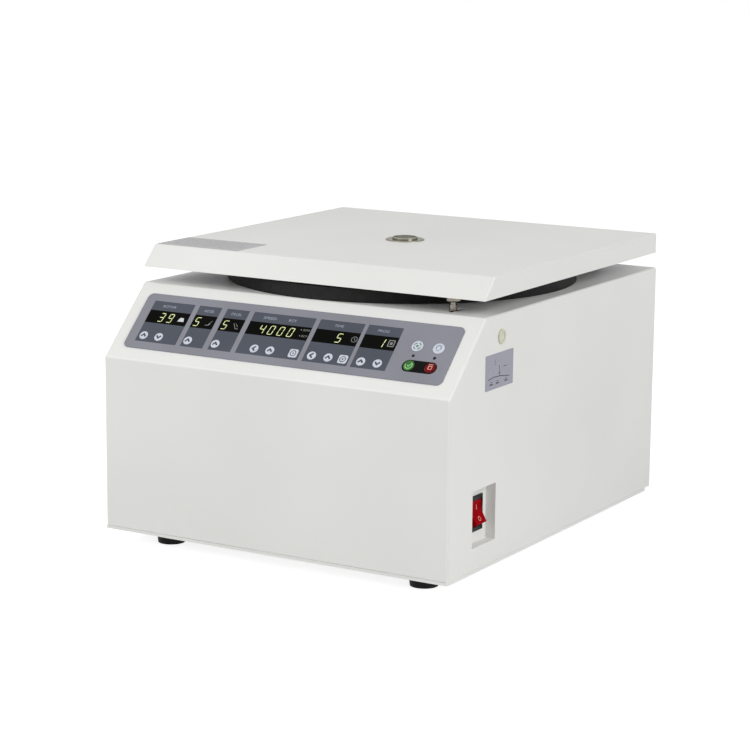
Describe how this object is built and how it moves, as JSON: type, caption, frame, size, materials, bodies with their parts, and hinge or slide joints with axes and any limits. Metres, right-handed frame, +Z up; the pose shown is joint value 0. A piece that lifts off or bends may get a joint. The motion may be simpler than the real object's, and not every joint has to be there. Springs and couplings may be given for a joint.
{
  "type": "microplate centrifuge",
  "caption": "Bench centrifuge for microplates: sheet-metal cabinet with a sloping keypad, a rear-hinged lid with a sight port, and a swing-out rotor with plate carriers.",
  "frame": {"origin": "middle of the footprint, on the surface the feet stand on", "axes": "+X to the user's right facing the keypad, +Y to the rear, +Z up"},
  "size_m": [0.432, 0.491, 0.3265],
  "materials": {
    "cabinet_paint": "fine textured powder coat, warm white",
    "zinc_sheet": "zinc-plated sheet",
    "stainless": "brushed stainless steel",
    "turned_steel": "turned and polished",
    "black_rubber": "matt rubber",
    "overlay_print": "grey-lavender printed keypad overlay",
    "display_black": "black display body",
    "display_window": "dark window",
    "circuit_board": "green circuit board",
    "led_lens": "coloured indicator lens",
    "key_pale": "pale lavender key cap",
    "key_green": "green key cap",
    "key_red": "red key cap",
    "switch_black": "black moulded plastic",
    "rocker_red": "red translucent plastic",
    "plug_cream": "cream moulded plastic",
    "label_foil": "printed aluminium foil",
    "motor_iron": "painted motor casting",
    "rotor_aluminium": "anodised aluminium",
    "dark_glass": "dark sight glass"
  },
  "bodies": {
    "cabinet": {"casing": "cabinet_paint", "rear_panel": "cabinet_paint", "base_plate": "cabinet_paint", "rubber_feet": "black_rubber", "foot_screws": "zinc_sheet", "panel_screws": "zinc_sheet", "keypad_overlay": "overlay_print", "display_modules": "display_black", "display_windows": "display_window", "keypad_board": "circuit_board", "status_leds": "led_lens", "switch_recess": "cabinet_paint", "switch_housing": "switch_black", "side_label": "label_foil", "chamber_gasket": "black_rubber", "hinge_brackets": "zinc_sheet", "hinge_pins": "turned_steel", "chamber_bowl": "stainless", "guard_ring": "zinc_sheet", "motor_housing": "motor_iron", "motor_plate": "zinc_sheet", "rubber_buffers": "black_rubber", "drive_board": "circuit_board", "power_inlet": "switch_black", "lock_solenoid": "zinc_sheet", "shaft_seal": "black_rubber", "motor_bearings": "turned_steel"},
    "lid": {"lid_shell": "cabinet_paint", "lid_liner": "zinc_sheet", "lid_label": "label_foil", "sight_ring": "turned_steel", "sight_glass": "dark_glass", "hinge_leaves": "zinc_sheet", "lid_striker": "turned_steel"},
    "rotor": {"motor_shaft": "turned_steel", "rotor_yoke": "rotor_aluminium", "rotor_nut": "rotor_aluminium", "trunnion_pins": "turned_steel"},
    "carrier_left": {"carrier_left": "rotor_aluminium"},
    "carrier_right": {"carrier_right": "rotor_aluminium"},
    "rocker": {"power_rocker": "rocker_red"},
    "plug": {"release_plug": "plug_cream"},
    "bolt": {"lock_bolt": "turned_steel"},
    "key_rotor_up": {"key_rotor_up": "key_pale"},
    "key_rotor_down": {"key_rotor_down": "key_pale"},
    "key_accel_up": {"key_accel_up": "key_pale"},
    "key_decel_up": {"key_decel_up": "key_pale"},
    "key_speed_shift": {"key_speed_shift": "key_pale"},
    "key_speed_up": {"key_speed_up": "key_pale"},
    "key_time_shift": {"key_time_shift": "key_pale"},
    "key_time_up": {"key_time_up": "key_pale"},
    "key_program_up": {"key_program_up": "key_pale"},
    "key_program_down": {"key_program_down": "key_pale"},
    "key_speed_mode": {"key_speed_mode": "key_pale"},
    "key_time_mode": {"key_time_mode": "key_pale"},
    "key_lid_open": {"key_lid_open": "key_pale"},
    "key_lamp": {"key_lamp": "key_pale"},
    "key_start": {"key_start": "key_green"},
    "key_stop": {"key_stop": "key_red"}
  },
  "joints": [
    {"name": "lid_hinge", "type": "hinge", "parent": "cabinet", "child": "lid", "pos_m": [0, 0.2385, 0.293], "axis": [-1, 0, 0], "range_deg": [0, 70]},
    {"name": "rotor_spin", "type": "hinge", "parent": "cabinet", "child": "rotor", "pos_m": [0, 0.0265, 0.2], "axis": [0, 0, 1], "continuous": true},
    {"name": "carrier_left_swing", "type": "hinge", "parent": "rotor", "child": "carrier_left", "pos_m": [-0.085, 0.0265, 0.232], "axis": [0, 1, 0], "range_deg": [0, 90]},
    {"name": "carrier_right_swing", "type": "hinge", "parent": "rotor", "child": "carrier_right", "pos_m": [0.085, 0.0265, 0.232], "axis": [0, -1, 0], "range_deg": [0, 90]},
    {"name": "rocker_tilt", "type": "hinge", "parent": "cabinet", "child": "rocker", "pos_m": [0.2021, -0.1685, 0.0765], "axis": [0, 1, 0], "range_deg": [0, 34]},
    {"name": "plug_pull", "type": "slide", "parent": "cabinet", "child": "plug", "axis": [1, 0, 0], "range_m": [0, 0.012]},
    {"name": "bolt_slide", "type": "slide", "parent": "cabinet", "child": "bolt", "axis": [0, -1, 0], "range_m": [0, 0.008], "stiffness_N_per_m": 60, "springref_m": -0.004},
    {"name": "press_rotor_up", "type": "slide", "parent": "cabinet", "child": "key_rotor_up", "axis": [0, 0.6998, -0.7143], "range_m": [0, 0.0005], "stiffness_N_per_m": 400, "springref_m": -0.0005},
    {"name": "press_rotor_down", "type": "slide", "parent": "cabinet", "child": "key_rotor_down", "axis": [0, 0.6998, -0.7143], "range_m": [0, 0.0005], "stiffness_N_per_m": 400, "springref_m": -0.0005},
    {"name": "press_accel_up", "type": "slide", "parent": "cabinet", "child": "key_accel_up", "axis": [0, 0.6998, -0.7143], "range_m": [0, 0.0005], "stiffness_N_per_m": 400, "springref_m": -0.0005},
    {"name": "press_decel_up", "type": "slide", "parent": "cabinet", "child": "key_decel_up", "axis": [0, 0.6998, -0.7143], "range_m": [0, 0.0005], "stiffness_N_per_m": 400, "springref_m": -0.0005},
    {"name": "press_speed_shift", "type": "slide", "parent": "cabinet", "child": "key_speed_shift", "axis": [0, 0.6998, -0.7143], "range_m": [0, 0.0005], "stiffness_N_per_m": 400, "springref_m": -0.0005},
    {"name": "press_speed_up", "type": "slide", "parent": "cabinet", "child": "key_speed_up", "axis": [0, 0.6998, -0.7143], "range_m": [0, 0.0005], "stiffness_N_per_m": 400, "springref_m": -0.0005},
    {"name": "press_time_shift", "type": "slide", "parent": "cabinet", "child": "key_time_shift", "axis": [0, 0.6998, -0.7143], "range_m": [0, 0.0005], "stiffness_N_per_m": 400, "springref_m": -0.0005},
    {"name": "press_time_up", "type": "slide", "parent": "cabinet", "child": "key_time_up", "axis": [0, 0.6998, -0.7143], "range_m": [0, 0.0005], "stiffness_N_per_m": 400, "springref_m": -0.0005},
    {"name": "press_program_up", "type": "slide", "parent": "cabinet", "child": "key_program_up", "axis": [0, 0.6998, -0.7143], "range_m": [0, 0.0005], "stiffness_N_per_m": 400, "springref_m": -0.0005},
    {"name": "press_program_down", "type": "slide", "parent": "cabinet", "child": "key_program_down", "axis": [0, 0.6998, -0.7143], "range_m": [0, 0.0005], "stiffness_N_per_m": 400, "springref_m": -0.0005},
    {"name": "press_speed_mode", "type": "slide", "parent": "cabinet", "child": "key_speed_mode", "axis": [0, 0.6998, -0.7143], "range_m": [0, 0.0005], "stiffness_N_per_m": 400, "springref_m": -0.0005},
    {"name": "press_time_mode", "type": "slide", "parent": "cabinet", "child": "key_time_mode", "axis": [0, 0.6998, -0.7143], "range_m": [0, 0.0005], "stiffness_N_per_m": 400, "springref_m": -0.0005},
    {"name": "press_lid_open", "type": "slide", "parent": "cabinet", "child": "key_lid_open", "axis": [0, 0.6998, -0.7143], "range_m": [0, 0.0005], "stiffness_N_per_m": 400, "springref_m": -0.0005},
    {"name": "press_lamp", "type": "slide", "parent": "cabinet", "child": "key_lamp", "axis": [0, 0.6998, -0.7143], "range_m": [0, 0.0005], "stiffness_N_per_m": 400, "springref_m": -0.0005},
    {"name": "press_start", "type": "slide", "parent": "cabinet", "child": "key_start", "axis": [0, 0.6998, -0.7143], "range_m": [0, 0.0005], "stiffness_N_per_m": 400, "springref_m": -0.0005},
    {"name": "press_stop", "type": "slide", "parent": "cabinet", "child": "key_stop", "axis": [0, 0.6998, -0.7143], "range_m": [0, 0.0005], "stiffness_N_per_m": 400, "springref_m": -0.0005}
  ]
}
